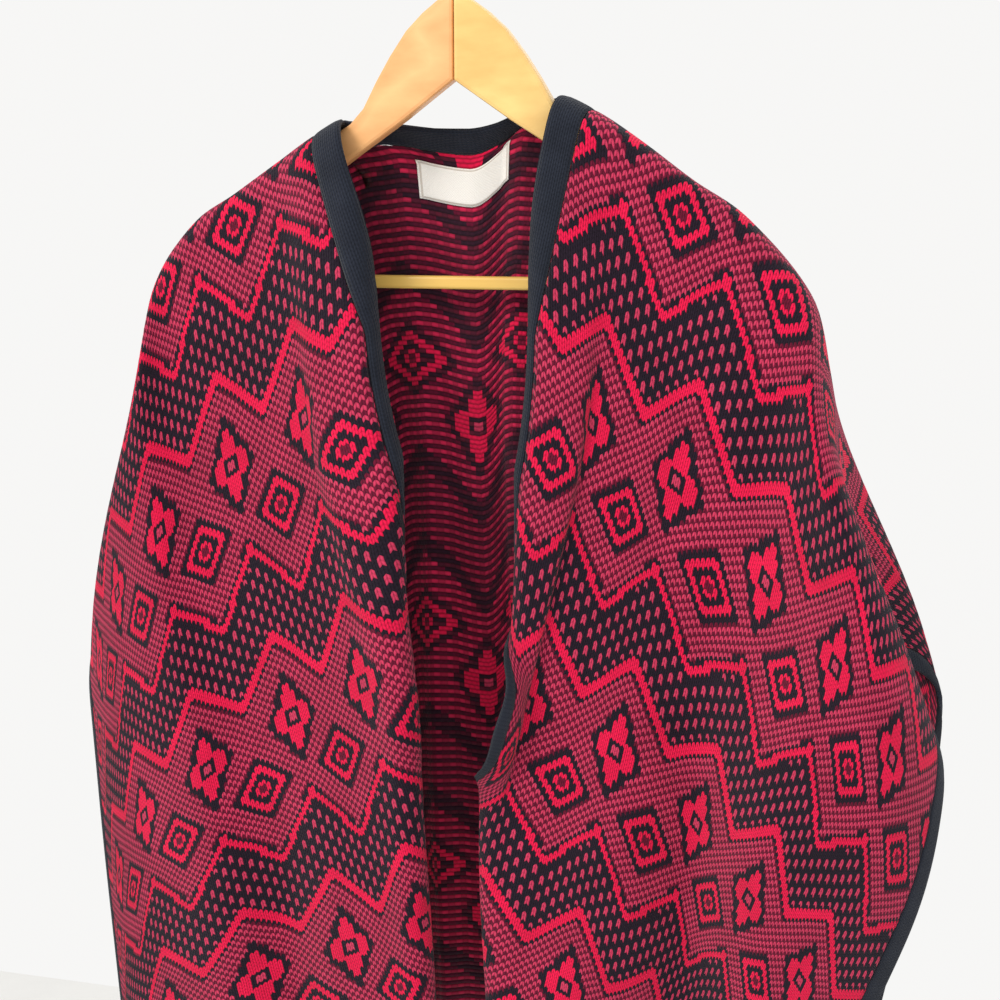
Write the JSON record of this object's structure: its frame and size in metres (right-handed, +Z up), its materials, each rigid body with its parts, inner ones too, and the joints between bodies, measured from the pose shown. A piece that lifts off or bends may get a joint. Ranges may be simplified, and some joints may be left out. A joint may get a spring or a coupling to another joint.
{
  "type": "ruana poncho on a clothes hanger",
  "caption": "Open-front knit ruana poncho with banded edges and diamond pattern, hung on a contoured wooden clothes hanger with a metal hook.",
  "frame": {"origin": "inside top of the hanger's hook, where the rod or nail that carries it touches", "axes": "+Z up, the open front faces -Y, +X to the right of someone looking at the front"},
  "size_m": [0.6541, 0.2719, 1.1355],
  "materials": {
    "body_knit": "two-colour jacquard knit, matte",
    "edge_knit": "plain knit, matte",
    "label_weave": "woven satin, blank",
    "wood_left": "clear satin varnish",
    "wood_right": "clear satin varnish",
    "wood_bar": "clear satin varnish",
    "hook_metal": "plated wire"
  },
  "bodies": {
    "root": {"panel_front_left": "body_knit", "panel_front_right": "body_knit", "panel_back": "body_knit", "hem_band_front_left": "edge_knit", "hem_band_front_right": "edge_knit", "hem_band_back": "edge_knit", "side_band_left": "edge_knit", "side_band_right": "edge_knit", "neck_band": "edge_knit", "label": "label_weave", "hanger_arm_left": "wood_left", "hanger_arm_right": "wood_right", "hanger_bar": "wood_bar", "hanger_hook": "hook_metal"}
  },
  "joints": []
}
